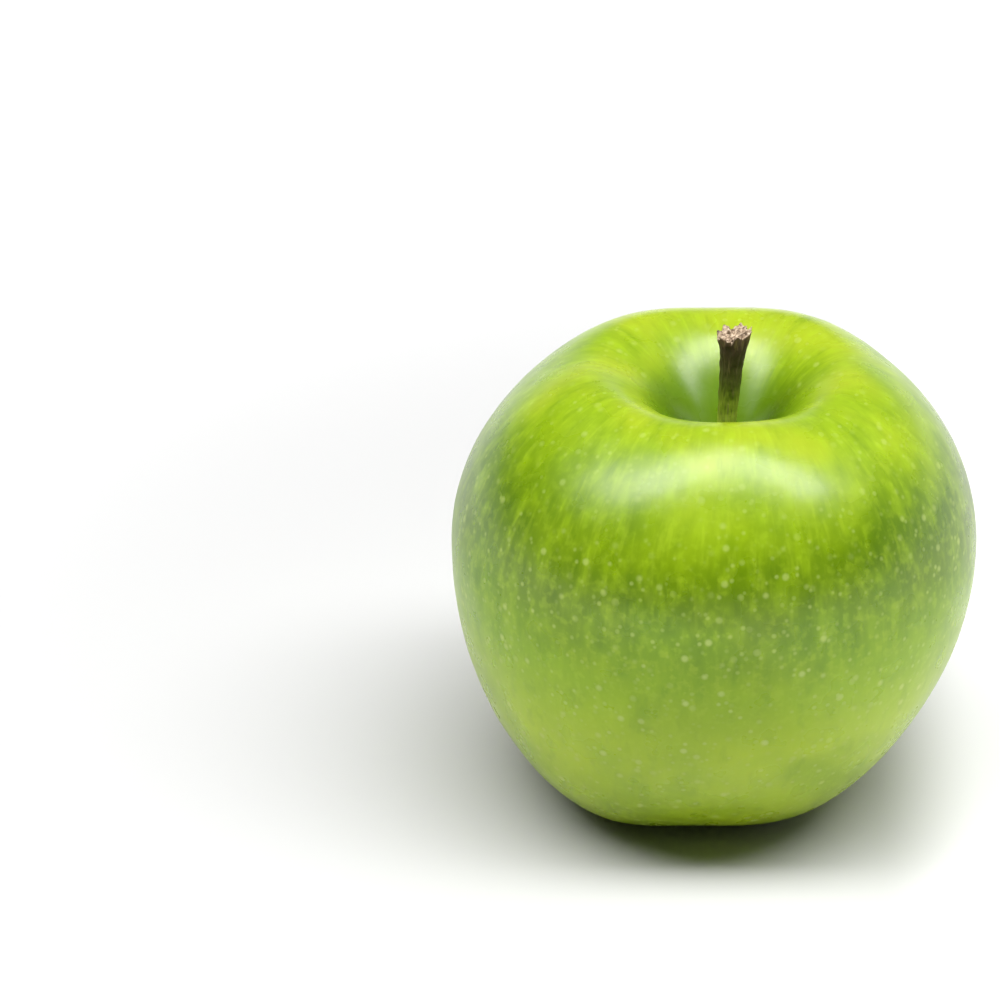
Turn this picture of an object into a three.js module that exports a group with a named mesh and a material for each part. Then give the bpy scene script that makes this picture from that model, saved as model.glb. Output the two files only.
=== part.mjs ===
// A green dessert apple, standing on its base. The fruit has a stem cavity on top and a calyx
// basin below. The woody stem, the five dried sepals and the dried stamens are pieces of their own.
// Millimetres, +Z up. The origin lies under the middle of the fruit's widest girth, at the level
// that the apple stands on.
import * as THREE from "three";

// Fruit: outer form
const WIDEST_RADIUS = 39.4;
const WIDEST_HEIGHT = 39.5; // of the widest girth, above the standing level
const CREST_RADIUS = 19.8; // of the ring where the shoulder is highest
const CREST_HEIGHT = 68.9;
const FOOT_RADIUS = 13.5; // of the ring that the apple stands on
const SHOULDER_ROUNDNESS = 5; // how far the curve runs level outwards from the crest
const UPPER_FULLNESS = 18.5; // how far the side runs upright above the widest girth
const LOWER_FULLNESS = 18; // and below it
const BASE_BREADTH = 16; // how far the curve runs level outwards from the foot

// Fruit: stem cavity
const CAVITY_DEPTH = 18; // from the crest down to the stem
const CAVITY_LIP = 4.4; // how far the curve runs level inwards from the crest
const CAVITY_FLARE = 7.5; // how much wider the funnel is just above the stem
const CAVITY_THROAT = 13; // height of that flare above the funnel's end
const CAVITY_OFFSET = 1.3; // how far the stem stands aside of the crown's middle

// Fruit: calyx basin
const BASIN_DEPTH = 8; // from the standing level up to the eye
const BASIN_LIP = 3.5; // how far the curve runs level inwards from the foot
const BASIN_SLOPE = 3; // how far the basin runs level outwards from the eye
const EYE_DEPTH = 5; // the pit behind the sepals

// Fruit: ribs, furrow and lean
const RIB_COUNT = 5;
const BASE_RIB = 0.024; // share of the radius that a rib stands out at the base
const BASE_RIB_TURN = 90; // degrees, where the first base rib lies
const BASE_NOTCH = 0.9; // how far the base rises between two ribs
const FOOT_FLAT = 0.35; // how much of each rib's foot is flattened by standing
const CROWN_RIB = 0.01; // the same at the crown
const CROWN_RIB_TURN = 54; // degrees
const CROWN_NOTCH = 0.7; // how far the crest falls between two ribs
const FURROW_DEPTH = 1.2; // of the one furrow that runs out of the cavity
const FURROW_TURN = -35; // degrees
const FURROW_HALF_WIDTH = 24; // degrees
const BASE_SHIFT = 2.8; // how far the base lies towards -X of the widest girth
const CROWN_SHIFT = 0.7; // how far the crown lies towards +X of it

// Stem
const STEM_LENGTH = 26.6;
const STEM_FOOT_RADIUS = 1.5;
const STEM_WAIST_RADIUS = 1.45;
const STEM_NECK_RADIUS = 1.85; // under the splayed end
const STEM_END_RADIUS = 2.6;
const STEM_END_LENGTH = 3.2;
const STEM_END_DISH = 0.65; // how far the middle of the end is sunk
const STEM_END_SLANT = 0.22; // rise of the broken end for each millimetre across
const STEM_LEAN = 1.24; // how far the end stands towards +X of the foot
const SOCKET_DEPTH = 3; // how deep the stem is rooted below the cavity

// Sepals and stamens
const SEPAL_COUNT = 5;
const SEPAL_THICKNESS = 0.5;
const SEPAL_BASE_WIDTH = 2.6;
const SEPAL_WIDEST = 2.9;
const SEPAL_TIP_WIDTH = 0.5;
const SEPAL_LENGTH = 6.4;
const SEPAL_SEAT_RADIUS = 2.4; // where their roots stand round the eye
const SEPAL_ROOT = 0.8; // how far the roots reach into the eye
const SEPAL_CURL = 100; // degrees that the tip has turned outwards from straight down
const STAMEN_LENGTH = 3.6;
const STAMEN_WAIST = 0.6; // the tuft's radius halfway up, as a share of the one at its tips
const STAMEN_ROOT = 0.5; // and at its roots
const CLEARANCE = 0.3; // between two pieces that touch

// Fineness of the surfaces
const FRUIT_SIDES = 60;
const FRUIT_STEPS = [1, 3, 1, 8, 20, 16, 10, 1, 1]; // on each stretch of its half section
const STEM_SIDES = 16;
const STEM_STEPS = 12;
const STAMEN_SIDES = 12;
const SEPAL_STEPS = 8; // along a sepal
const SEPAL_BREADTHS = 4; // across it

// Sizes that follow from those above
const SOCKET_RADIUS = STEM_FOOT_RADIUS + CLEARANCE;
const CAVITY_FLOOR = CREST_HEIGHT - CAVITY_DEPTH;
const SOCKET_FLOOR = CAVITY_FLOOR - SOCKET_DEPTH;
const HEART_LEVEL = (BASIN_DEPTH + EYE_DEPTH + SOCKET_FLOOR) / 2; // halfway between the eye and the socket
const EYE_RADIUS = Math.hypot(SEPAL_SEAT_RADIUS + SEPAL_THICKNESS / 2, SEPAL_BASE_WIDTH / 2) + CLEARANCE;
const COLLAR_TOP = BASIN_DEPTH + SEPAL_ROOT + CLEARANCE; // the eye's side is upright behind the roots
const STAMEN_RADIUS = SEPAL_SEAT_RADIUS - SEPAL_THICKNESS / 2 - CLEARANCE;

const skin = new THREE.MeshStandardMaterial({ color: 0x93b52e, roughness: 0.3, metalness: 0 });
const wood = new THREE.MeshStandardMaterial({ color: 0x4d451c, roughness: 0.8, metalness: 0 });
const driedLeaf = new THREE.MeshStandardMaterial({ color: 0x5f5d3c, roughness: 0.95, metalness: 0 });
const driedThread = new THREE.MeshStandardMaterial({ color: 0x3b3420, roughness: 0.95, metalness: 0 });

const apple = new THREE.Group();

function addMesh(name, geometry, material) {
  const mesh = new THREE.Mesh(geometry, material);
  mesh.name = name;
  apple.add(mesh);
  return mesh;
}

// Moves each vertex of a geometry to where move(point) puts it.
function moveVertices(geometry, move) {
  const position = geometry.getAttribute("position");
  const point = new THREE.Vector3();
  for (let i = 0; i < position.count; i++) {
    point.fromBufferAttribute(position, i);
    move(point);
    position.setXYZ(i, point.x, point.y, point.z);
  }
  return geometry;
}

// A body of revolution about Z, from a profile of (radius, height) points that runs upwards outside.
function turned(points, sides) {
  return new THREE.LatheGeometry(points, sides).rotateX(Math.PI / 2);
}

// How far a height lies towards the base, and towards the crown: 0 at the widest girth, 1 at the end.
function towardsBase(z) {
  return THREE.MathUtils.clamp(1 - z / WIDEST_HEIGHT, 0, 1);
}

function towardsCrown(z) {
  return THREE.MathUtils.clamp((z - WIDEST_HEIGHT) / (CREST_HEIGHT - WIDEST_HEIGHT), 0, 1);
}

// The core line leans: its place along X at a height.
function coreAt(z) {
  return CROWN_SHIFT * towardsCrown(z) ** 2 - BASE_SHIFT * towardsBase(z) ** 2;
}

// A wave round the axis: 1 on each of the five ribs, -1 between two of them.
function ribWave(angle, firstRib) {
  return Math.cos(RIB_COUNT * (angle - THREE.MathUtils.degToRad(firstRib)));
}

// The fruit's half section, from the top of the eye round the outside to the floor of the socket.
function fruitProfile() {
  const half = new THREE.Path();
  const eyeTop = BASIN_DEPTH + EYE_DEPTH;
  half.moveTo(0, eyeTop);
  half.lineTo(EYE_RADIUS / 2, eyeTop);
  half.quadraticCurveTo(EYE_RADIUS, eyeTop, EYE_RADIUS, COLLAR_TOP);
  half.lineTo(EYE_RADIUS, BASIN_DEPTH);
  half.bezierCurveTo(
    EYE_RADIUS + BASIN_SLOPE, BASIN_DEPTH,
    FOOT_RADIUS - BASIN_LIP, -FOOT_FLAT,
    FOOT_RADIUS, -FOOT_FLAT,
  );
  half.bezierCurveTo(
    FOOT_RADIUS + BASE_BREADTH, -FOOT_FLAT,
    WIDEST_RADIUS, WIDEST_HEIGHT - LOWER_FULLNESS,
    WIDEST_RADIUS, WIDEST_HEIGHT,
  );
  half.bezierCurveTo(
    WIDEST_RADIUS, WIDEST_HEIGHT + UPPER_FULLNESS,
    CREST_RADIUS + SHOULDER_ROUNDNESS, CREST_HEIGHT,
    CREST_RADIUS, CREST_HEIGHT,
  );
  half.bezierCurveTo(
    CREST_RADIUS - CAVITY_LIP, CREST_HEIGHT,
    SOCKET_RADIUS + CAVITY_FLARE, CAVITY_FLOOR + CAVITY_THROAT,
    SOCKET_RADIUS, CAVITY_FLOOR,
  );
  half.lineTo(SOCKET_RADIUS, SOCKET_FLOOR);
  half.lineTo(0, SOCKET_FLOOR);
  return half.curves.flatMap((curve, i) => curve.getPoints(FRUIT_STEPS[i]).slice(i ? 1 : 0));
}

// The height whose lean a point takes: the eye and the stem's socket stay straight inside.
function leanLevel(radius, z) {
  if (z < HEART_LEVEL && radius < EYE_RADIUS + CLEARANCE) return BASIN_DEPTH;
  if (z > HEART_LEVEL && radius < SOCKET_RADIUS + CLEARANCE) return CAVITY_FLOOR;
  return z;
}

// Gives the turned fruit its ribs, notches, furrow, flat feet and lean.
function growFruit(point) {
  const angle = Math.atan2(point.y, point.x);
  const radius = Math.hypot(point.x, point.y);
  const base = towardsBase(point.z);
  const crown = towardsCrown(point.z);
  const baseWave = ribWave(angle, BASE_RIB_TURN);
  const crownWave = ribWave(angle, CROWN_RIB_TURN);

  // Ribs and notches fade out towards the eye and the stem, and up the side.
  const offEye = Math.min(1, radius / FOOT_RADIUS);
  const offStem = Math.min(1, radius / CREST_RADIUS);
  const swell = 1 + BASE_RIB * base * offEye * baseWave + CROWN_RIB * crown * offStem * crownWave;
  const offFurrow = THREE.MathUtils.radToDeg(angle) - FURROW_TURN;
  const furrow = FURROW_DEPTH * Math.exp(-((offFurrow / FURROW_HALF_WIDTH) ** 2));
  const lift = (base ** 3 * offEye ** 2 * BASE_NOTCH * (1 - baseWave)) / 2;
  const drop = crown ** 3 * offStem ** 2 * (furrow + (CROWN_NOTCH * (1 - crownWave)) / 2);

  const inCavity = point.z > HEART_LEVEL;
  const aside = inCavity ? Math.max(0, 1 - (radius / CREST_RADIUS) ** 2) ** 2 : 0;
  const lean = coreAt(leanLevel(radius, point.z)) + CAVITY_OFFSET * aside;
  point.set(point.x * swell + lean, point.y * swell, Math.max(0, point.z + lift - drop));
}

function addFruit() {
  const body = turned(fruitProfile(), FRUIT_SIDES);
  addMesh("fruit", moveVertices(body, growFruit), skin);
}

// The stem: rooted in the socket, slim in the middle, splayed and slanting where it broke off the
// twig. It curves away from upright towards +X.
function addStem() {
  const foot = SOCKET_FLOOR + CLEARANCE;
  const neck = STEM_LENGTH - STEM_END_LENGTH;
  const outline = new THREE.SplineCurve([
    new THREE.Vector2(STEM_FOOT_RADIUS, 0),
    new THREE.Vector2(STEM_FOOT_RADIUS, SOCKET_DEPTH),
    new THREE.Vector2(STEM_WAIST_RADIUS, (SOCKET_DEPTH + neck) / 2),
    new THREE.Vector2(STEM_NECK_RADIUS, neck),
    new THREE.Vector2(STEM_END_RADIUS, STEM_LENGTH),
  ]);
  const side = outline.getPoints(STEM_STEPS);
  const points = [new THREE.Vector2(0, 0), ...side, new THREE.Vector2(0, STEM_LENGTH - STEM_END_DISH)];
  const rootX = coreAt(CAVITY_FLOOR) + CAVITY_OFFSET;
  const bend = (point) => {
    const up = point.z / STEM_LENGTH;
    const nearEnd = Math.max(0, (point.z - neck) / STEM_END_LENGTH);
    point.z += STEM_END_SLANT * point.x * nearEnd + foot;
    point.x += rootX + STEM_LEAN * up ** 2;
  };
  addMesh("stem", moveVertices(turned(points, STEM_SIDES), bend), wood);
}

// One sepal: a thin tongue that leaves the eye downwards and curls outwards, drawn along +X.
// Its cross-section is a flat box, its width swells and then tapers to the tip.
function sepalGeometry() {
  const tongue = new THREE.BoxGeometry(1, 1, 1, 1, SEPAL_BREADTHS, SEPAL_STEPS);
  const step = SEPAL_LENGTH / SEPAL_STEPS;
  const line = [new THREE.Vector2(SEPAL_SEAT_RADIUS, BASIN_DEPTH + SEPAL_ROOT)];
  const tilts = [0];
  for (let i = 1; i <= SEPAL_STEPS; i++) {
    const tilt = tilts[i - 1];
    line.push(line[i - 1].clone().add(new THREE.Vector2(Math.sin(tilt) * step, -Math.cos(tilt) * step)));
    tilts.push(THREE.MathUtils.degToRad((SEPAL_CURL * i) / SEPAL_STEPS));
  }
  return moveVertices(tongue, (point) => {
    const i = Math.round((0.5 - point.z) * SEPAL_STEPS);
    const along = i / SEPAL_STEPS;
    const swollen = THREE.MathUtils.lerp(SEPAL_BASE_WIDTH, SEPAL_WIDEST, Math.sin(Math.PI * along));
    const width = THREE.MathUtils.lerp(swollen, SEPAL_TIP_WIDTH, along ** 2);
    const off = point.x * SEPAL_THICKNESS;
    point.set(
      line[i].x + off * Math.cos(tilts[i]),
      point.y * width,
      line[i].y + off * Math.sin(tilts[i]),
    );
  });
}

function addSepals() {
  for (let i = 0; i < SEPAL_COUNT; i++) {
    const sepal = addMesh("sepal_" + (i + 1), sepalGeometry(), driedLeaf);
    sepal.position.x = coreAt(BASIN_DEPTH);
    sepal.rotation.z = (i * 2 * Math.PI) / SEPAL_COUNT;
  }
}

// The stamens: a dried tuft that hangs from the roof of the eye, inside the ring of sepals.
function addStamens() {
  const top = BASIN_DEPTH + EYE_DEPTH - CLEARANCE;
  const points = [
    new THREE.Vector2(0, top - STAMEN_LENGTH),
    new THREE.Vector2(STAMEN_RADIUS, top - STAMEN_LENGTH),
    new THREE.Vector2(STAMEN_RADIUS * STAMEN_WAIST, top - STAMEN_LENGTH / 2),
    new THREE.Vector2(STAMEN_RADIUS * STAMEN_ROOT, top),
    new THREE.Vector2(0, top),
  ];
  const stamens = addMesh("stamens", turned(points, STAMEN_SIDES), driedThread);
  stamens.position.x = coreAt(BASIN_DEPTH);
}

addFruit();
addStem();
addSepals();
addStamens();

export default apple;
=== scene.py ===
"""A green dessert apple with its stem, sepals and stamens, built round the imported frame.

Metres, +Z up. The fruit stands on the floor at z = 0, and +X is the side that its stem leans to.
"""
import math
import random

import bpy
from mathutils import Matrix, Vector, kdtree, noise


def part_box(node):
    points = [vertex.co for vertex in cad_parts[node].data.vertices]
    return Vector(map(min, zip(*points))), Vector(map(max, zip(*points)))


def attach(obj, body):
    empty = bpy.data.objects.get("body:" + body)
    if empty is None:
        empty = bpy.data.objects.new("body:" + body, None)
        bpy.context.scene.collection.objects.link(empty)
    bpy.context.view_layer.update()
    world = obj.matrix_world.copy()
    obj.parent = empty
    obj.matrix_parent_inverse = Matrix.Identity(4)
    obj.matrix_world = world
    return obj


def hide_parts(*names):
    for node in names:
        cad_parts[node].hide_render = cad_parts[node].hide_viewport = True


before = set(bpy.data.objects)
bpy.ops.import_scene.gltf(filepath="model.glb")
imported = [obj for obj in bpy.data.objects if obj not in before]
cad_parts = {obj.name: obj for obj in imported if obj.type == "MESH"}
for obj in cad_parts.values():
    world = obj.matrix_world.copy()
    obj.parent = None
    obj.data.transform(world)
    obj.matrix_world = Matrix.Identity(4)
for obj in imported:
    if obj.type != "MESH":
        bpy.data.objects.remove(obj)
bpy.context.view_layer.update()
MM = 0.001

# ---------------------------------------------------------------- sizes taken from the frame
fruit_low, fruit_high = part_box("fruit")
WIDEST_RADIUS = (fruit_high.x - fruit_low.x) / 2
CREST_HEIGHT = fruit_high.z
STEM_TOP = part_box("stem")[1].z

# ---------------------------------------------------------------- the fruit's own form
WIDEST_HEIGHT = 39.5 * MM
CREST_RADIUS = 19.8 * MM
FOOT_RADIUS = 13.5 * MM
SHOULDER_ROUNDNESS = 5 * MM
UPPER_FULLNESS = 18.5 * MM
LOWER_FULLNESS = 18 * MM
BASE_BREADTH = 16 * MM
CAVITY_DEPTH = 18 * MM
CAVITY_LIP = 4.4 * MM
CAVITY_FLARE = 7.65 * MM
CAVITY_THROAT = 13 * MM
CAVITY_OFFSET = 1.3 * MM
BASIN_DEPTH = 8 * MM
BASIN_LIP = 3.5 * MM
EYE_DEPTH = 5 * MM
EYE_RADIUS = 3.25 * MM
EYE_ROOF_ROUNDNESS = 1 * MM
EYE_LIP_RISE = 1.2 * MM
BRIM_BREADTH, BRIM_SINK = 1.1 * MM, 0.25 * MM  # of the flat ring that the sepals sit on
SOCKET_RADIUS = 1.65 * MM
SOCKET_DEPTH = 3 * MM
SOCKET_ROUNDNESS = 1 * MM
RIB_COUNT = 5
BASE_RIB, BASE_RIB_TURN, BASE_NOTCH = 0.024, math.radians(90), 0.9 * MM
CROWN_RIB, CROWN_RIB_TURN, CROWN_NOTCH = 0.01, math.radians(54), 0.7 * MM
FURROW_DEPTH, FURROW_TURN, FURROW_HALF_WIDTH = 1.2 * MM, math.radians(-35), math.radians(24)
FOOT_FLAT = 0.35 * MM
BASE_SHIFT, CROWN_SHIFT = 2.8 * MM, 0.7 * MM
FOLD_DEPTH = 0.45 * MM  # of the small folds that run down into the calyx basin
WAVE_SIZE, WAVE_HEIGHT = 13 * MM, 0.22 * MM  # of the soft unevenness that every grown skin has
DIMPLE_SIZE, DIMPLE_HEIGHT = 3.2 * MM, 0.035 * MM
STEPS_ROUND = 340  # flats round the fruit, too fine to see
MERGE_DISTANCE = 1e-6

CAVITY_FLOOR = CREST_HEIGHT - CAVITY_DEPTH
EYE_ROOF = BASIN_DEPTH + EYE_DEPTH


# ---------------------------------------------------------------- helpers
def srgb(code):
    """A hex colour such as "8fae2b" as linear RGBA."""
    parts = [int(code[i : i + 2], 16) / 255 for i in (0, 2, 4)]
    return tuple(c / 12.92 if c <= 0.04045 else ((c + 0.055) / 1.055) ** 2.4 for c in parts) + (1,)


def clamp(value, low=0.0, high=1.0):
    return max(low, min(high, value))


def deselect():
    if bpy.context.object and bpy.context.object.mode != "OBJECT":
        bpy.ops.object.mode_set(mode="OBJECT")
    bpy.ops.object.select_all(action="DESELECT")


def only(obj):
    """Selects one object alone and makes it the active one."""
    deselect()
    obj.select_set(True)
    bpy.context.view_layer.objects.active = obj


def name_piece(obj, name):
    obj.name = obj.data.name = name
    return obj


def apply_modifier(obj, kind, **settings):
    only(obj)
    modifier = obj.modifiers.new(kind.title(), kind)
    for key, value in settings.items():
        setattr(modifier, key, value)
    bpy.ops.object.modifier_apply(modifier=modifier.name)


def subdivide(obj, levels):
    apply_modifier(obj, "SUBSURF", levels=levels, render_levels=levels)


def clean(obj):
    """Merges doubled points and turns every face outwards."""
    only(obj)
    bpy.ops.object.mode_set(mode="EDIT")
    bpy.ops.mesh.select_all(action="SELECT")
    bpy.ops.mesh.remove_doubles(threshold=MERGE_DISTANCE)
    bpy.ops.mesh.normals_make_consistent(inside=False)
    bpy.ops.object.mode_set(mode="OBJECT")


def settle(obj, node_name, slot, *materials):
    """A finished piece stands for its CAD node, rides with the apple and takes its materials."""
    only(obj)
    bpy.ops.object.transform_apply(location=True, rotation=True, scale=True)
    bpy.ops.object.shade_smooth()
    for material in materials:
        obj.data.materials.append(material)
    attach(obj, "root")
    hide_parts(node_name)


def rough(point, size, seed=0.0):
    """Smooth noise of about -1 to 1 at a place, with features of the given size."""
    return noise.noise(Vector(point) / size + Vector((seed, -seed, 0.5 * seed)))


# ---------------------------------------------------------------- the fruit
def towards_base(z):
    return clamp(1 - z / WIDEST_HEIGHT)


def towards_crown(z):
    return clamp((z - WIDEST_HEIGHT) / (CREST_HEIGHT - WIDEST_HEIGHT))


def core_at(z):
    """Where the leaning core line lies along X at a height."""
    return CROWN_SHIFT * towards_crown(z) ** 2 - BASE_SHIFT * towards_base(z) ** 2


def fruit_stretches():
    """The half section in stretches: start, its handle, the end's handle, end, and the steps."""
    roof, lip = EYE_ROOF, BASIN_DEPTH + EYE_LIP_RISE
    brim = (EYE_RADIUS + BRIM_BREADTH, BASIN_DEPTH - BRIM_SINK)
    foot = (FOOT_RADIUS, -FOOT_FLAT)
    widest = (WIDEST_RADIUS, WIDEST_HEIGHT)
    crest = (CREST_RADIUS, CREST_HEIGHT)
    throat = (SOCKET_RADIUS, CAVITY_FLOOR)
    floor = CAVITY_FLOOR - SOCKET_DEPTH
    return [
        (
            (0, roof), (EYE_RADIUS * 0.8, roof),
            (EYE_RADIUS, roof - EYE_ROOF_ROUNDNESS), (EYE_RADIUS, lip), 10,
        ),
        (
            (EYE_RADIUS, lip), (EYE_RADIUS, BASIN_DEPTH),
            (EYE_RADIUS + 0.3 * MM, BASIN_DEPTH - 0.1 * MM), brim, 8,
        ),
        (
            brim, (EYE_RADIUS + 3.4 * MM, BASIN_DEPTH - 0.8 * MM),
            (FOOT_RADIUS - BASIN_LIP, -FOOT_FLAT), foot, 36,
        ),
        (
            foot, (FOOT_RADIUS + BASE_BREADTH, -FOOT_FLAT),
            (WIDEST_RADIUS, WIDEST_HEIGHT - LOWER_FULLNESS), widest, 76,
        ),
        (
            widest, (WIDEST_RADIUS, WIDEST_HEIGHT + UPPER_FULLNESS),
            (CREST_RADIUS + SHOULDER_ROUNDNESS, CREST_HEIGHT), crest, 60,
        ),
        (
            crest, (CREST_RADIUS - CAVITY_LIP, CREST_HEIGHT),
            (SOCKET_RADIUS + CAVITY_FLARE, CAVITY_FLOOR + CAVITY_THROAT), throat, 50,
        ),
        (
            throat, (SOCKET_RADIUS, CAVITY_FLOOR - SOCKET_ROUNDNESS),
            (SOCKET_RADIUS, floor), (0, floor), 8,
        ),
    ]


def grow(point):
    """Moves a point of the turned form to where ribs, notches, furrow, folds and lean put it."""
    angle = math.atan2(point.y, point.x)
    radius = math.hypot(point.x, point.y)
    base, crown = towards_base(point.z), towards_crown(point.z)
    base_wave = math.cos(RIB_COUNT * (angle - BASE_RIB_TURN))
    crown_wave = math.cos(RIB_COUNT * (angle - CROWN_RIB_TURN))
    off_eye = min(1, radius / FOOT_RADIUS)
    off_stem = min(1, radius / CREST_RADIUS)
    swell = 1 + BASE_RIB * base * off_eye * base_wave + CROWN_RIB * crown * off_stem * crown_wave
    furrow = FURROW_DEPTH * math.exp(-(((angle - FURROW_TURN) / FURROW_HALF_WIDTH) ** 2))
    lift = base**3 * off_eye**2 * BASE_NOTCH * (1 - base_wave) / 2
    drop = crown**3 * off_stem**2 * (furrow + CROWN_NOTCH * (1 - crown_wave) / 2)
    aside = max(0, 1 - (radius / CREST_RADIUS) ** 2) ** 2 if crown > 0 else 0
    lean = core_at(point.z) + CAVITY_OFFSET * aside

    # Small folds run from the eye up the basin's side and fade before the feet.
    folds = 0
    if base > 0 and EYE_RADIUS < radius < FOOT_RADIUS:
        share = (radius - EYE_RADIUS) / (FOOT_RADIUS - EYE_RADIUS)
        round_eye = Vector((math.cos(angle), math.sin(angle), 0))
        fine = rough(round_eye, 0.16, 3.1) + 0.6 * rough(round_eye, 0.07, 7.7)
        folds = FOLD_DEPTH * (0.7 * math.cos(2 * RIB_COUNT * (angle - BASE_RIB_TURN)) + fine)
        folds *= math.sin(math.pi * share**0.6) * (1 - share)
    return Vector((point.x * swell + lean, point.y * swell, point.z + lift - drop + folds))


def make_fruit(*materials):
    deselect()
    bpy.ops.curve.primitive_bezier_curve_add(location=(0, 0, 0))
    fruit = name_piece(bpy.context.object, "apple_skin")
    fruit.data.dimensions = "3D"
    fruit.data.splines.clear()
    for start, leaving, arriving, end, steps in fruit_stretches():
        spline = fruit.data.splines.new("BEZIER")
        spline.resolution_u = steps
        spline.bezier_points.add(1)
        for point, at, handle in zip(spline.bezier_points, (start, end), (leaving, arriving)):
            point.handle_left_type = point.handle_right_type = "FREE"
            point.co = (at[0], 0, at[1])
            point.handle_left = point.handle_right = (handle[0], 0, handle[1])
    bpy.ops.object.convert(target="MESH")
    fruit = bpy.context.object
    clean(fruit)
    outline = [v.co.copy() for v in fruit.data.vertices]
    apply_modifier(
        fruit, "SCREW", axis="Z", steps=STEPS_ROUND, render_steps=STEPS_ROUND,
        use_merge_vertices=True, merge_threshold=MERGE_DISTANCE, use_smooth_shade=True,
    )
    clean(fruit)

    # Each point keeps its turn round the core and its way along the skin from the eye, so that
    # streaks can follow the growth. Then the turned form gets its grown shape.
    finder = kdtree.KDTree(len(outline))
    ways = [0.0]
    for i, place in enumerate(outline):
        finder.insert(place, i)
        if i:
            ways.append(ways[-1] + (place - outline[i - 1]).length)
    finder.balance()
    grain = fruit.data.attributes.new("grain", "FLOAT_VECTOR", "POINT")
    for v in fruit.data.vertices:
        radius = math.hypot(v.co.x, v.co.y)
        turn = Vector((v.co.x, v.co.y, 0)).normalized() * WIDEST_RADIUS
        grain.data[v.index].vector = (turn.x, turn.y, ways[finder.find((radius, 0, v.co.z))[1]])
        v.co = grow(v.co)

    for size, height in ((WAVE_SIZE, WAVE_HEIGHT), (DIMPLE_SIZE, DIMPLE_HEIGHT)):
        waves = bpy.data.textures.new("skin_waves", "CLOUDS")
        waves.noise_scale = size
        apply_modifier(
            fruit, "DISPLACE", texture=waves, texture_coords="LOCAL", strength=height,
            mid_level=0.5,
        )
    for v in fruit.data.vertices:
        v.co.z = max(0, v.co.z)
    settle(fruit, "fruit", "skin", *materials)


# ---------------------------------------------------------------- the stem
STEM_LENGTH = 26.6 * MM
STEM_LEAN = 1.24 * MM
STEM_NECK = 22.5 * MM  # height above the foot where the stem begins to splay
STEM_END_SLANT = 0.22
STEM_SIDES = 36
STEM_RADII = [  # height above the foot and radius, in millimetres
    (0, 1.45), (2, 1.5), (4, 1.5), (6, 1.48), (7.8, 1.46), (9.6, 1.44), (11.4, 1.42),
    (13.2, 1.42), (14.8, 1.44), (16.4, 1.48), (18, 1.54), (19.5, 1.61), (20.9, 1.69),
    (22.1, 1.78), (23.1, 1.88), (23.9, 1.99), (24.6, 2.14), (25.3, 2.32), (25.9, 2.48),
    (26.4, 2.58), (26.6, 2.5),
]
STEM_END_RINGS = ((0.3, 0.12), (0.5, 0.35), (0.7, 0.15), (0.6, -0.1))  # inset and sink, in mm
BARK_STRETCH = 7 * MM  # how far a ridge of bark runs before it changes
STEM_CORE = 1.2 * MM  # the radius within which the ridges die out
TEAR_SIZE, TEAR_DEPTH, TEAR_LENGTH = 0.5 * MM, 0.3 * MM, 1.6 * MM  # of the torn end's fibres


def make_stem(*materials):
    """A circle extruded ring by ring into a stalk that splays where it broke off the twig."""
    deselect()
    foot = CAVITY_FLOOR - SOCKET_DEPTH
    bpy.ops.mesh.primitive_circle_add(
        vertices=STEM_SIDES, radius=STEM_RADII[0][1] * MM, fill_type="NGON", location=(0, 0, 0),
    )
    stem = name_piece(bpy.context.object, "stem_wood")
    bpy.ops.object.mode_set(mode="EDIT")
    bpy.ops.mesh.select_all(action="SELECT")
    rings = [(z * MM, r * MM) for z, r in STEM_RADII]
    for (low, r_low), (high, r_high) in zip(rings, rings[1:]):
        bpy.ops.mesh.extrude_region_move(TRANSFORM_OT_translate={"value": (0, 0, high - low)})
        grown = r_high / r_low
        bpy.ops.transform.resize(value=(grown, grown, 1), center_override=(0, 0, high))
    for inset, sink in STEM_END_RINGS:
        bpy.ops.mesh.inset(thickness=inset * MM, depth=0)
        bpy.ops.transform.translate(value=(0, 0, -sink * MM))
    bpy.ops.object.mode_set(mode="OBJECT")
    clean(stem)
    subdivide(stem, 2)

    root_x = core_at(CAVITY_FLOOR) + CAVITY_OFFSET
    top = STEM_RADII[-1][0] * MM
    for v in stem.data.vertices:
        radius = math.hypot(v.co.x, v.co.y)
        angle = math.atan2(v.co.y, v.co.x)
        round_stem = Vector((math.cos(angle), math.sin(angle), 0))
        up = clamp(v.co.z / STEM_LENGTH)
        end = clamp((v.co.z - STEM_NECK) / (top - STEM_NECK))
        outside = clamp(radius / STEM_CORE)

        # Long ridges of shrunken bark, knots across them, and teeth where the end was torn.
        along = Vector((round_stem.x, round_stem.y, v.co.z / BARK_STRETCH))
        ridges = 0.11 * noise.noise(along * 2.6) + 0.06 * noise.noise(along * 6.1)
        knots = 0.07 * rough((round_stem.x, round_stem.y, v.co.z / MM * 0.9), 1.1, 4.2)
        lobes = noise.noise(round_stem * 2.3 + Vector((0, 0, 1.7)))
        teeth = noise.noise(round_stem * 5.5 + Vector((0, 0, 4.1)))
        swell = 1 + outside * (ridges + knots + end**1.5 * (0.14 * lobes + 0.1 * teeth))
        x, y = v.co.x * swell, v.co.y * swell
        z = v.co.z + end**2 * outside**2 * (0.75 * lobes + 0.55 * teeth) * MM
        torn = clamp((v.co.z - (top - TEAR_LENGTH)) / MM)
        z += torn * TEAR_DEPTH * rough((x, y, z), TEAR_SIZE, 9.0)
        z += STEM_END_SLANT * x * end
        v.co = (x + root_x + STEM_LEAN * up**2, y, z + foot)
    subdivide(stem, 1)
    settle(stem, "stem", "stem_wood", *materials)


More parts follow.
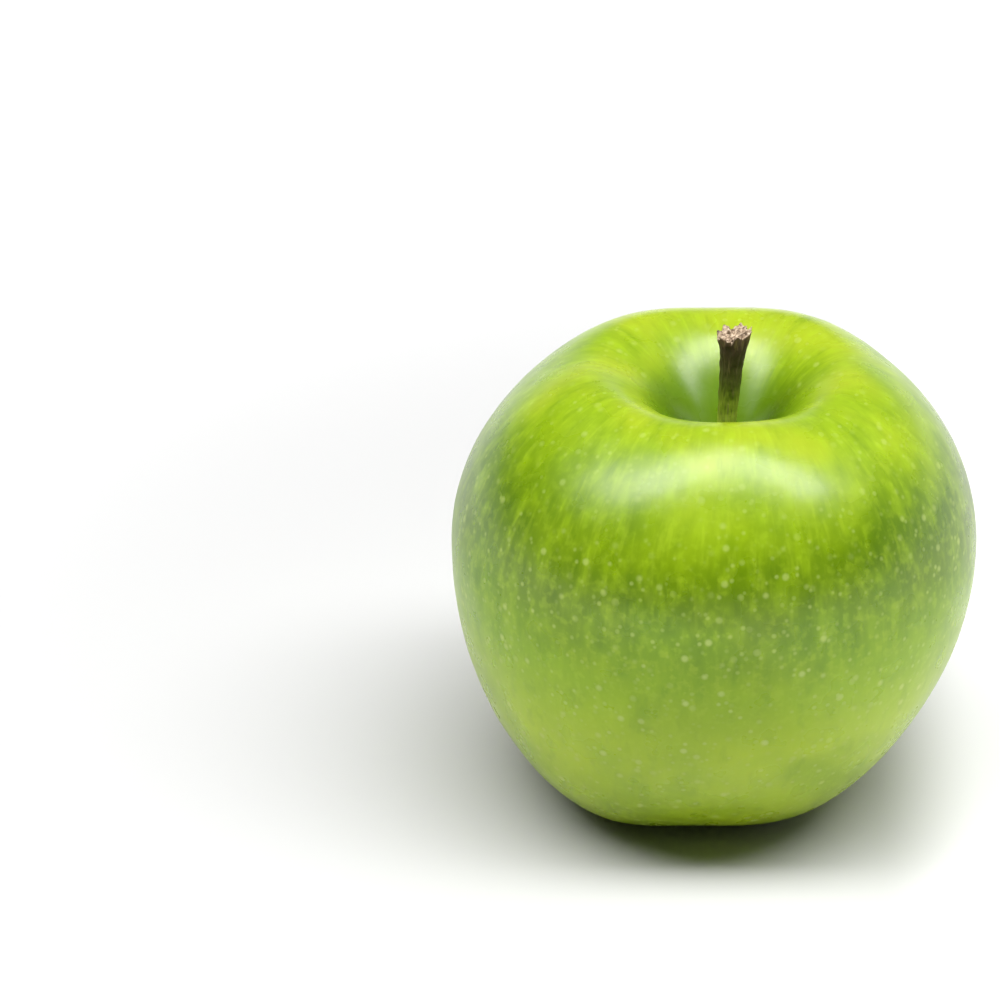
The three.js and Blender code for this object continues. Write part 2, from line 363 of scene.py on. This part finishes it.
# ---------------------------------------------------------------- sepals and stamens
SEPAL_COUNT = 5
SEPAL_LENGTH = 7.2 * MM
SEPAL_SEAT_RADIUS = 2.75 * MM
SEPAL_ROOT = 0.9 * MM
SEPAL_CURLS = [100, 118, 84, 108, 92]  # degrees that each tip has turned outwards
SEPAL_TWISTS = [6, -9, 14, -4, -12]  # degrees that each tip has turned about its own rib
SEPAL_THICKNESS = 0.32 * MM
SEPAL_STEPS = 44


def sepal_width(along):
    """Half the width: a broad root, a waist, a slight swell and a long dry point."""
    return (1.3 + 0.25 * math.sin(math.pi * along)) * (1 - along**2.2) * MM + 0.12 * MM


def make_sepal(number, *materials):
    """A flat grid, narrowed to a dried leaf, folded along its rib and curled outwards."""
    deselect()
    bpy.ops.mesh.primitive_grid_add(
        x_subdivisions=8, y_subdivisions=SEPAL_STEPS // 2, size=1, location=(0, 0, 0),
    )
    sepal = name_piece(bpy.context.object, "sepal_leaf_" + str(number))
    curl = math.radians(SEPAL_CURLS[number - 1])
    twist = math.radians(SEPAL_TWISTS[number - 1])
    line, tilt = [Vector((SEPAL_SEAT_RADIUS, BASIN_DEPTH + SEPAL_ROOT))], [0.0]
    for i in range(SEPAL_STEPS):
        ahead = Vector((math.sin(tilt[-1]), -math.cos(tilt[-1])))
        line.append(line[-1] + ahead * SEPAL_LENGTH / SEPAL_STEPS)
        tilt.append(curl * ((i + 1) / SEPAL_STEPS) ** 1.15)
    for v in sepal.data.vertices:
        along, side = v.co.y + 0.5, v.co.x * 2
        i = min(SEPAL_STEPS, round(along * SEPAL_STEPS))
        wave = rough((side, along * 4, number), 0.9, number)
        across = side * sepal_width(along) * (1 + 0.12 * wave)
        fold = 0.55 * side**2 * sepal_width(along) + 0.3 * MM * wave * abs(side)
        fold *= 0.3 + along
        roll = twist * along
        across, fold = (
            across * math.cos(roll) - fold * math.sin(roll),
            across * math.sin(roll) + fold * math.cos(roll),
        )
        out = line[i].x - fold * math.cos(tilt[i])
        v.co = (out, across, line[i].y - fold * math.sin(tilt[i]))
    clean(sepal)
    apply_modifier(sepal, "SOLIDIFY", thickness=SEPAL_THICKNESS, offset=0)
    subdivide(sepal, 2)
    sepal.rotation_euler.z = (number - 1) * 2 * math.pi / SEPAL_COUNT
    sepal.location.x = core_at(BASIN_DEPTH)
    settle(sepal, "sepal_" + str(number), "sepal", *materials)


STAMEN_COUNT = 20
STAMEN_RADIUS = 0.13 * MM
STAMEN_RINGS = (  # drop and step aside in millimetres, and how the ring widens
    (0.5, 0.02, 0.9), (0.6, 0.08, 0.9), (0.7, 0.12, 0.95), (0.6, 0.1, 1.0), (0.3, 0.03, 1.9),
    (0.35, 0.02, 1.25), (0.35, 0.0, 0.85), (0.2, 0.0, 0.4),
)
STAMEN_TURN = math.radians(137.5)  # from each to the next, as grown parts space themselves
STAMEN_TILT, STAMEN_SPIN = 0.12, 0.6  # the most that one is out of line, in radians
STAMEN_STRETCH = (0.82, 1.04)
TUFT_RADIUS = 1.45 * MM
TUFT_SEED = 11


def make_stamens(*materials):
    """One dried filament with its anther, copied into a tuft that hangs from the eye's roof."""
    deselect()
    bpy.ops.mesh.primitive_circle_add(
        vertices=6, radius=STAMEN_RADIUS, fill_type="NGON", location=(0, 0, 0),
    )
    first = bpy.context.object
    bpy.ops.object.mode_set(mode="EDIT")
    bpy.ops.mesh.select_all(action="SELECT")
    at = Vector((0, 0, 0))
    for drop, aside, grown in STAMEN_RINGS:
        move = Vector((aside, 0, -drop)) * MM
        at += move
        bpy.ops.mesh.extrude_region_move(TRANSFORM_OT_translate={"value": tuple(move)})
        bpy.ops.transform.resize(value=(grown, grown, 1), center_override=tuple(at))
    bpy.ops.object.mode_set(mode="OBJECT")
    clean(first)
    subdivide(first, 1)
    draw = random.Random(TUFT_SEED)
    top = EYE_ROOF + 0.1 * MM  # just into the roof, so that no gap shows
    copies = []
    for i in range(STAMEN_COUNT):
        thread = first.copy()
        thread.data = first.data.copy()
        bpy.context.scene.collection.objects.link(thread)
        turn = i * STAMEN_TURN
        out = TUFT_RADIUS * math.sqrt((i + 0.5) / STAMEN_COUNT)
        thread.location = (out * math.cos(turn) + core_at(BASIN_DEPTH), out * math.sin(turn), top)
        thread.rotation_euler = (
            draw.uniform(-STAMEN_TILT, STAMEN_TILT), draw.uniform(-STAMEN_TILT, STAMEN_TILT),
            turn + draw.uniform(-STAMEN_SPIN, STAMEN_SPIN),
        )
        thread.scale = (1, 1, draw.uniform(*STAMEN_STRETCH))
        copies.append(thread)
    bpy.data.objects.remove(first)
    only(copies[0])
    for thread in copies:
        thread.select_set(True)
    bpy.ops.object.join()
    stamens = name_piece(bpy.context.object, "stamen_tuft")
    settle(stamens, "stamens", "stamen", *materials)


# ---------------------------------------------------------------- materials
SMOOTH = {"interpolation_type": "SMOOTHSTEP"}
TIMES = {"operation": "MULTIPLY"}
PLUS = {"operation": "ADD"}
COLOURS = {"data_type": "RGBA", "out": 2}

CLOUD_SIZE = 14 * MM
BLOTCH_SIZE = 2.6 * MM
STREAK_SIZE = 1.1 * MM
MOTTLE_SIZE = 1.3 * MM
HAZE_SIZE = 6 * MM
PORE_SIZE, PORE_DEPTH = 0.6 * MM, 0.03 * MM  # coarser than real pores, which would not show
LENTICELS = (  # spacing, full and washed-out edge as shares of it, shift of the pattern, strength
    (1.6 * MM, 0.08, 0.3, 0.0, 0.75),
    (2.9 * MM, 0.08, 0.26, 31.0, 1.0),
)

# Wood fibres and the wool on a sepal are a few hundredths of a millimetre thick, too fine to show,
# so both are drawn as strands of a third to half a millimetre.
FIBRE_SIZE = 0.45 * MM
TORN_SIZE = 0.5 * MM
WOOL_SIZE = 0.35 * MM
LEAF_PATCH = 1.8 * MM
THREAD_PATCH = 0.4 * MM


def node(tree, kind, inputs=None, out=0, stops=None, **settings):
    """Adds a shader node with its settings, its input values or links, and its colour ramp stops.

    It gives the output that out names. By number, a Map Range takes input 0 from the span 1 to 2
    to the span 3 to 4, and a colour Mix lays input 7 over input 6 by the share in input 0.
    """
    made = tree.nodes.new("ShaderNode" + kind)
    for name, value in settings.items():
        setattr(made, name, value)
    for name, value in (inputs or {}).items():
        if isinstance(value, bpy.types.NodeSocket):
            tree.links.new(value, made.inputs[name])
        else:
            made.inputs[name].default_value = value
    for i, (place, colour) in enumerate(stops or []):
        elements = made.color_ramp.elements
        stop = elements[i] if i < len(elements) else elements.new(place)
        stop.position, stop.color = place, colour
    return made.outputs[out]


def new_material(name, **sockets):
    """A material with values set on its shader's own sockets. Gives it, its tree and its shader."""
    material = bpy.data.materials.new(name)
    material.use_nodes = True
    shader = material.node_tree.nodes["Principled BSDF"]
    for key, value in sockets.items():
        shader.inputs[key.replace("_", " ")].default_value = value
    return material, material.node_tree, shader


def skin_material():
    """Fresh apple peel with its natural wax: green with pale lenticels and faint growth streaks.

    The wax gives a broad soft gloss, the thin peel lets a little light spread, and the lenticels
    are corky pale dots of 0.3 to 1.1 mm, which show more towards the base.
    """
    material, tree, shader = new_material(
        "apple_peel_natural_wax", IOR=1.45, Subsurface_Weight=0.1,
        Subsurface_Radius=(1.0, 0.9, 0.25), Subsurface_Scale=1.2 * MM,
    )
    place = node(tree, "TexCoord", out="Object")
    grain = node(tree, "Attribute", out="Vector", attribute_name="grain")
    height = node(tree, "SeparateXYZ", {0: place}, out="Z")
    level = node(tree, "VectorMath", {0: place, 1: (1, 1, 0)}, **TIMES)
    radius = node(tree, "VectorMath", {0: level}, out="Value", operation="LENGTH")

    # Ground colour: paler towards the base, painted light of the bounce from the floor; full green
    # at the girth;
    # deepest on the shoulder, a band of painted shade; yellower again at the crest. Large soft
    # clouds shift these zones up and down.
    up = node(tree, "MapRange", {0: height, 1: 0.0, 2: CREST_HEIGHT})
    clouds = node(
        tree, "TexNoise", {"Vector": place, "Scale": 1 / CLOUD_SIZE, "Detail": 2.0}, out="Fac",
    )
    shift = node(tree, "Math", {0: clouds, 1: -0.5}, **PLUS)
    shift = node(tree, "Math", {0: shift, 1: 0.22}, **TIMES)
    ground = node(
        tree, "ValToRGB", {"Fac": node(tree, "Math", {0: up, 1: shift}, **PLUS)},
        stops=[
            (0.0, srgb("7f9716")), (0.2, srgb("8dab18")), (0.36, srgb("98b618")),
            (0.5, srgb("82a60c")), (0.61, srgb("698c04")), (0.71, srgb("557302")),
            (0.79, srgb("567502")), (0.88, srgb("6d8c06")), (0.95, srgb("7e9b0e")),
            (1.0, srgb("879e16")),
        ],
    )

    # The skin is paler where a cloud is strong.
    paler = node(tree, "MapRange", {0: clouds, 1: 0.35, 2: 0.68}, **SMOOTH)
    ground = node(
        tree, "Mix", {0: paler, 6: ground, 7: (1.28, 1.18, 1.3, 1)}, **COLOURS,
        blend_type="MULTIPLY",
    )

    # Bright and deep blotches are drawn out along the growth, and fine pale streaks run with it.
    drawn = node(tree, "Mapping", {"Vector": grain, "Scale": (1, 1, 0.55)})
    blotch = node(
        tree, "TexNoise", {"Vector": drawn, "Scale": 1 / BLOTCH_SIZE, "Detail": 3.0}, out="Fac",
    )
    bright = node(tree, "MapRange", {0: blotch, 1: 0.45, 2: 0.75, 3: 0.0, 4: 0.3}, **SMOOTH)
    ground = node(tree, "Mix", {0: bright, 6: ground, 7: srgb("9dbd18")}, **COLOURS)
    deep = node(tree, "MapRange", {0: blotch, 1: 0.25, 2: 0.48, 3: 1.0, 4: 0.0}, **SMOOTH)
    ground = node(
        tree, "Mix", {0: deep, 6: ground, 7: (0.82, 0.87, 0.6, 1)}, **COLOURS,
        blend_type="MULTIPLY",
    )
    fine = node(tree, "Mapping", {"Vector": grain, "Scale": (1, 1, 0.22)})
    streaks = node(
        tree, "TexNoise", {"Vector": fine, "Scale": 1 / STREAK_SIZE, "Detail": 2.0}, out="Fac",
    )
    streaks = node(tree, "MapRange", {0: streaks, 1: 0.5, 2: 0.75}, **SMOOTH)
    shoulder = node(
        tree, "MapRange", {0: height, 1: 42 * MM, 2: 62 * MM, 3: 0.1, 4: 0.14}, **SMOOTH,
    )
    streaks = node(tree, "Math", {0: streaks, 1: shoulder}, **TIMES)
    ground = node(tree, "Mix", {0: streaks, 6: ground, 7: srgb("b9d238")}, **COLOURS)

    # Faint mottles, strongest below the girth.
    low_half = node(
        tree, "MapRange", {0: height, 1: 34 * MM, 2: 64 * MM, 3: 1.0, 4: 0.35}, **SMOOTH,
    )
    mottle = node(
        tree, "TexNoise", {"Vector": place, "Scale": 1 / MOTTLE_SIZE, "Detail": 2.0}, out="Fac",
    )
    mottle = node(tree, "MapRange", {0: mottle, 1: 0.48, 2: 0.7, 3: 0.0, 4: 0.28}, **SMOOTH)
    mottle = node(tree, "Math", {0: mottle, 1: low_half}, **TIMES)
    ground = node(tree, "Mix", {0: mottle, 6: ground, 7: srgb("a9c433")}, **COLOURS)

    # The funnel round the stem is painted a deeper green, painted shade of the hollow.
    near = node(tree, "MapRange", {0: radius, 1: 8 * MM, 2: 13.5 * MM, 3: 0.9, 4: 0.0}, **SMOOTH)
    above = node(tree, "MapRange", {0: height, 1: 40 * MM, 2: 44 * MM}, **SMOOTH)
    funnel = node(tree, "Math", {0: near, 1: above}, **TIMES)
    ground = node(tree, "Mix", {0: funnel, 6: ground, 7: srgb("597a04")}, **COLOURS)

    # Lenticels: small round dots, and fewer large ones with a washed edge. Few show in the funnel.
    masks = []
    for spacing, core, edge, moved, strength in LENTICELS:
        shifted = node(tree, "Mapping", {"Vector": place, "Location": (moved, 0, 0)})
        cells = node(tree, "TexVoronoi", {"Vector": shifted, "Scale": 1 / spacing}).node.outputs
        dot = node(
            tree, "MapRange", {0: cells["Distance"], 1: core, 2: edge, 3: 1.0, 4: 0.0}, **SMOOTH,
        )
        shade = node(tree, "SeparateColor", {0: cells["Color"]})
        shade = node(tree, "MapRange", {0: shade, 1: 0.0, 2: 1.0, 3: 0.25, 4: 1.0}, **SMOOTH)
        dot = node(tree, "Math", {0: dot, 1: shade}, **TIMES)
        masks.append(node(tree, "Math", {0: dot, 1: strength}, **TIMES))
    dots = node(tree, "Math", {0: masks[0], 1: masks[1]}, operation="MAXIMUM")
    dots = node(tree, "Math", {0: dots, 1: low_half}, **TIMES)
    open_skin = node(tree, "MapRange", {0: funnel, 1: 0.0, 2: 0.9, 3: 1.0, 4: 0.1}, **SMOOTH)
    dots = node(tree, "Math", {0: dots, 1: open_skin}, **TIMES)
    washed = node(tree, "Math", {0: dots, 1: 0.6}, **TIMES)
    colour = node(tree, "Mix", {0: washed, 6: ground, 7: srgb("c4d27c")}, **COLOURS)

    # The eye behind the sepals is dry and brown.
    near = node(tree, "MapRange", {0: radius, 1: 4.5 * MM, 2: 6.5 * MM, 3: 1.0, 4: 0.0}, **SMOOTH)
    below = node(tree, "MapRange", {0: height, 1: 14 * MM, 2: 16 * MM, 3: 1.0, 4: 0.0}, **SMOOTH)
    eye = node(tree, "Math", {0: near, 1: below}, **TIMES)
    colour = node(tree, "Mix", {0: eye, 6: colour, 7: srgb("4d4a22")}, **COLOURS)
    tree.links.new(colour, shader.inputs["Base Color"])

    # Wax: slightly uneven gloss, duller on the dots and a touch smoother in the funnel.
    haze = node(
        tree, "TexNoise", {"Vector": place, "Scale": 1 / HAZE_SIZE, "Detail": 3.0}, out="Fac",
    )
    gloss = node(tree, "MapRange", {0: haze, 1: 0.3, 2: 0.7, 3: 0.26, 4: 0.32}, **SMOOTH)
    corky = node(tree, "Math", {0: dots, 1: 0.12}, **TIMES)
    sheltered = node(tree, "Math", {0: funnel, 1: -0.02}, **TIMES)
    dull = node(tree, "Math", {0: corky, 1: sheltered}, **PLUS)
    gloss = node(tree, "Math", {0: gloss, 1: dull}, **PLUS)
    tree.links.new(gloss, shader.inputs["Roughness"])

    # Peel: a fine texture of pores. The lenticels lie level with it.
    pores = node(
        tree, "TexNoise", {"Vector": place, "Scale": 1 / PORE_SIZE, "Detail": 2.0}, out="Fac",
    )
    bump = node(tree, "Bump", {"Height": pores, "Strength": 0.25, "Distance": PORE_DEPTH})
    tree.links.new(bump, shader.inputs["Normal"])
    return material


def stem_material():
    """A woody stalk, grown and dried: green bark at the foot, brown above, its end torn pale."""
    material, tree, shader = new_material("stem_bark_dried", IOR=1.5, Specular_IOR_Level=0.35)
    place = node(tree, "TexCoord", out="Object")
    height = node(tree, "SeparateXYZ", {0: place}, out="Z")
    up = node(tree, "MapRange", {0: height, 1: STEM_TOP - 15 * MM, 2: STEM_TOP})
    fibres = node(tree, "Mapping", {"Vector": place, "Scale": (1, 1, 0.12)})
    fibre = node(
        tree, "TexNoise", {"Vector": fibres, "Scale": 1 / FIBRE_SIZE, "Detail": 4.0}, out="Fac",
    )
    shift = node(tree, "Math", {0: fibre, 1: -0.5}, **PLUS)
    shift = node(tree, "Math", {0: shift, 1: 0.3}, **TIMES)
    bark = node(
        tree, "ValToRGB", {"Fac": node(tree, "Math", {0: shift, 1: up}, **PLUS)},
        stops=[
            (0.0, srgb("93a52e")), (0.18, srgb("7c8c1e")), (0.4, srgb("555c1a")),
            (0.62, srgb("423d1a")), (0.82, srgb("3c2c1c")), (0.96, srgb("58452f")),
        ],
    )
    ridges = node(tree, "MapRange", {0: fibre, 1: 0.55, 2: 0.75, 3: 0.0, 4: 0.45}, **SMOOTH)
    bark = node(tree, "Mix", {0: ridges, 6: bark, 7: srgb("8b7f4e")}, **COLOURS)
    grooves = node(tree, "MapRange", {0: fibre, 1: 0.28, 2: 0.45, 3: 0.6, 4: 0.0}, **SMOOTH)
    bark = node(tree, "Mix", {0: grooves, 6: bark, 7: srgb("231d0f")}, **COLOURS)

    # Pale torn wood on the end, with painted shade in its hollows.
    normal = node(tree, "NewGeometry", out="Normal")
    facing = node(tree, "SeparateXYZ", {0: normal}, out="Z")
    facing = node(tree, "MapRange", {0: facing, 1: 0.1, 2: 0.6}, **SMOOTH)
    end = node(tree, "MapRange", {0: up, 1: 0.8, 2: 0.9}, **SMOOTH)
    end = node(tree, "Math", {0: end, 1: facing}, **TIMES)
    torn = node(
        tree, "TexNoise", {"Vector": place, "Scale": 1 / TORN_SIZE, "Detail": 4.0}, out="Fac",
    )
    pale = node(
        tree, "ValToRGB", {"Fac": torn},
        stops=[(0.35, srgb("4a3a2a")), (0.5, srgb("a08a72")), (0.65, srgb("d3bfa6"))],
    )
    colour = node(tree, "Mix", {0: end, 6: bark, 7: pale}, **COLOURS)
    tree.links.new(colour, shader.inputs["Base Color"])
    gloss = node(tree, "MapRange", {0: fibre, 1: 0.3, 2: 0.7, 3: 0.6, 4: 0.85}, **SMOOTH)
    tree.links.new(gloss, shader.inputs["Roughness"])
    relief = node(tree, "Math", {0: fibre, 1: torn}, **PLUS)
    bump = node(tree, "Bump", {"Height": relief, "Strength": 0.6, "Distance": 0.12 * MM})
    tree.links.new(bump, shader.inputs["Normal"])
    return material


def dried_leaf_material():
    """A sepal, dried on the fruit: grey-brown, woolly, green only near its root."""
    material, tree, shader = new_material(
        "sepal_dried_woolly", IOR=1.45, Specular_IOR_Level=0.2, Roughness=0.95,
    )
    place = node(tree, "TexCoord", out="Object")
    height = node(tree, "SeparateXYZ", {0: place}, out="Z")
    wool = node(
        tree, "TexNoise", {"Vector": place, "Scale": 1 / WOOL_SIZE, "Detail": 4.0}, out="Fac",
    )
    patch = node(
        tree, "TexNoise", {"Vector": place, "Scale": 1 / LEAF_PATCH, "Detail": 2.0}, out="Fac",
    )
    leaf = node(
        tree, "ValToRGB", {"Fac": patch},
        stops=[(0.3, srgb("3c3620")), (0.5, srgb("5f5a3a")), (0.7, srgb("847f5c"))],
    )
    hairs = node(tree, "MapRange", {0: wool, 1: 0.5, 2: 0.75, 3: 0.0, 4: 0.6}, **SMOOTH)
    leaf = node(tree, "Mix", {0: hairs, 6: leaf, 7: srgb("a8a488")}, **COLOURS)
    root = node(
        tree, "MapRange", {0: height, 1: 5.5 * MM, 2: 8.5 * MM, 3: 0.0, 4: 0.5}, **SMOOTH,
    )
    leaf = node(tree, "Mix", {0: root, 6: leaf, 7: srgb("5a6a26")}, **COLOURS)
    tree.links.new(leaf, shader.inputs["Base Color"])
    bump = node(tree, "Bump", {"Height": wool, "Strength": 0.7, "Distance": 0.1 * MM})
    tree.links.new(bump, shader.inputs["Normal"])
    return material


def dried_thread_material():
    """Stamens, withered in the eye: dark brown threads with paler anthers."""
    material, tree, shader = new_material(
        "stamen_withered", IOR=1.45, Specular_IOR_Level=0.2, Roughness=0.9,
    )
    place = node(tree, "TexCoord", out="Object")
    patch = node(
        tree, "TexNoise", {"Vector": place, "Scale": 1 / THREAD_PATCH, "Detail": 3.0}, out="Fac",
    )
    thread = node(
        tree, "ValToRGB", {"Fac": patch},
        stops=[(0.3, srgb("231b10")), (0.55, srgb("463a22")), (0.75, srgb("77663f"))],
    )
    tree.links.new(thread, shader.inputs["Base Color"])
    return material


# ---------------------------------------------------------------- floor, light and camera
FLOOR_WIDTH = 16
LIGHT_DEPTH = 0.28
LIGHTS = (  # name, place, width and watts. Each hangs over the floor and shines straight down.
    ("softbox_above", (0, -0.15, 0.8), 1.5, 13.4),
    ("softbox_wings", (-0.1, -0.15, 0.81), 2.1, 4.5),
)


def make_stage():
    """A white floor with painted light: its glow grows with the distance from the fruit, to pure
    white, and a painted glow to the right of the fruit lightens its shadow there.
    """
    deselect()
    bpy.ops.mesh.primitive_plane_add(size=FLOOR_WIDTH, location=(0, 0, 0))
    floor = name_piece(bpy.context.object, "floor")
    white, tree, shader = new_material(
        "white_floor_painted_glow", Roughness=0.8, Specular_IOR_Level=0.15, Base_Color=srgb("c8c8c8"),
        Emission_Color=(1, 1, 1, 1),
    )
    place = node(tree, "TexCoord", out="Object")
    away = node(tree, "VectorMath", {0: place}, out="Value", operation="LENGTH")
    across = node(tree, "SeparateXYZ", {0: place}, out="X")
    # Painted light: a glow that fades in with the distance from the fruit shapes the shadow round
    # it, and more glow just to the right of the fruit lightens the shadow there.
    close = node(tree, "MapRange", {0: away, 1: 0.12, 2: 0.3, 3: 1.0, 4: 0.0}, **SMOOTH)
    painted_light_beside = node(
        tree, "MapRange", {0: across, 1: 24 * MM, 2: 42 * MM, 3: 0.0, 4: 0.35}, **SMOOTH,
    )
    painted_light_beside = node(tree, "Math", {0: painted_light_beside, 1: close}, **TIMES)
    painted_glow_around = node(tree, "MapRange", {0: away, 1: 0.09, 2: 0.34, 3: 0.0, 4: 0.75}, **SMOOTH)
    far = node(tree, "MapRange", {0: away, 1: 0.5, 2: 2.0, 3: 0.0, 4: 0.45}, **SMOOTH)
    glow = node(tree, "Math", {0: painted_glow_around, 1: far}, **PLUS)
    glow = node(tree, "Math", {0: glow, 1: painted_light_beside}, **PLUS)
    tree.links.new(glow, shader.inputs["Emission Strength"])
    floor.data.materials.append(white)


def make_lights():
    """Two long softboxes over the fruit, and a studio that is brightest behind and to the right."""
    for name, place, width, watts in LIGHTS:
        data = bpy.data.lights.new(name, "AREA")
        data.shape, data.size, data.size_y = "RECTANGLE", width, LIGHT_DEPTH
        data.energy = watts
        lamp = bpy.data.objects.new(name, data)
        bpy.context.scene.collection.objects.link(lamp)
        lamp.location = place
    world = bpy.data.worlds.new("studio")
    bpy.context.scene.world = world
    world.use_nodes = True
    tree = world.node_tree
    way = node(tree, "SeparateXYZ", {0: node(tree, "TexCoord", out="Generated")}).node.outputs
    back = node(tree, "MapRange", {0: way["Y"], 1: -0.3, 2: 0.45, 3: 0.03, 4: 1.0}, **SMOOTH)
    high = node(tree, "MapRange", {0: way["Z"], 1: 0.06, 2: 0.4, 3: 1.0, 4: 0.22}, **SMOOTH)
    left = node(tree, "MapRange", {0: way["X"], 1: -0.9, 2: 0.1, 3: 0.12, 4: 1.0}, **SMOOTH)
    right = node(tree, "MapRange", {0: way["X"], 1: 0.3, 2: 0.95, 3: 1.0, 4: 1.5}, **SMOOTH)
    glow = node(tree, "Math", {0: back, 1: high}, **TIMES)
    sides = node(tree, "Math", {0: left, 1: right}, **TIMES)
    glow = node(tree, "Math", {0: glow, 1: sides}, **TIMES)

    # A pale strip at the horizon hides the floor's far edge.
    tilt = node(tree, "Math", {0: way["Z"]}, operation="ABSOLUTE")
    horizon = node(tree, "MapRange", {0: tilt, 1: 0.035, 2: 0.06, 3: 1.0, 4: 0.0}, **SMOOTH)
    strength = node(tree, "Math", {0: glow, 1: horizon}, operation="MAXIMUM")
    background = tree.nodes["Background"]
    tree.links.new(strength, background.inputs["Strength"])
    background.inputs["Color"].default_value = (1, 1, 1, 1)


CAMERA_DISTANCE = 0.949
CAMERA_PITCH = math.radians(28)
CAMERA_LENS, SENSOR_WIDTH = 226.8, 36  # millimetres
AIM_HEIGHT = 34.5 * MM
VIEW_LEFT_OF_FRUIT = 32.1 * MM
VIEW_ABOVE_FRUIT = 10.55 * MM


def make_camera():
    ahead = Vector((0, math.cos(CAMERA_PITCH), -math.sin(CAMERA_PITCH)))
    up = Vector((0, math.sin(CAMERA_PITCH), math.cos(CAMERA_PITCH)))
    data = bpy.data.cameras.new("camera")
    data.lens, data.sensor_width = CAMERA_LENS, SENSOR_WIDTH
    camera = bpy.data.objects.new("camera", data)
    bpy.context.scene.collection.objects.link(camera)
    aim = Vector((-VIEW_LEFT_OF_FRUIT, 0, AIM_HEIGHT)) + up * VIEW_ABOVE_FRUIT
    camera.location = aim - ahead * CAMERA_DISTANCE
    camera.rotation_euler = ahead.to_track_quat("-Z", "Y").to_euler()
    bpy.context.scene.camera = camera


make_camera()
make_lights()
make_stage()
make_fruit(skin_material())
make_stem(stem_material())
leaf = dried_leaf_material()
for number in range(1, SEPAL_COUNT + 1):
    make_sepal(number, leaf)
make_stamens(dried_thread_material())
bpy.context.scene.view_settings.view_transform = "Standard"
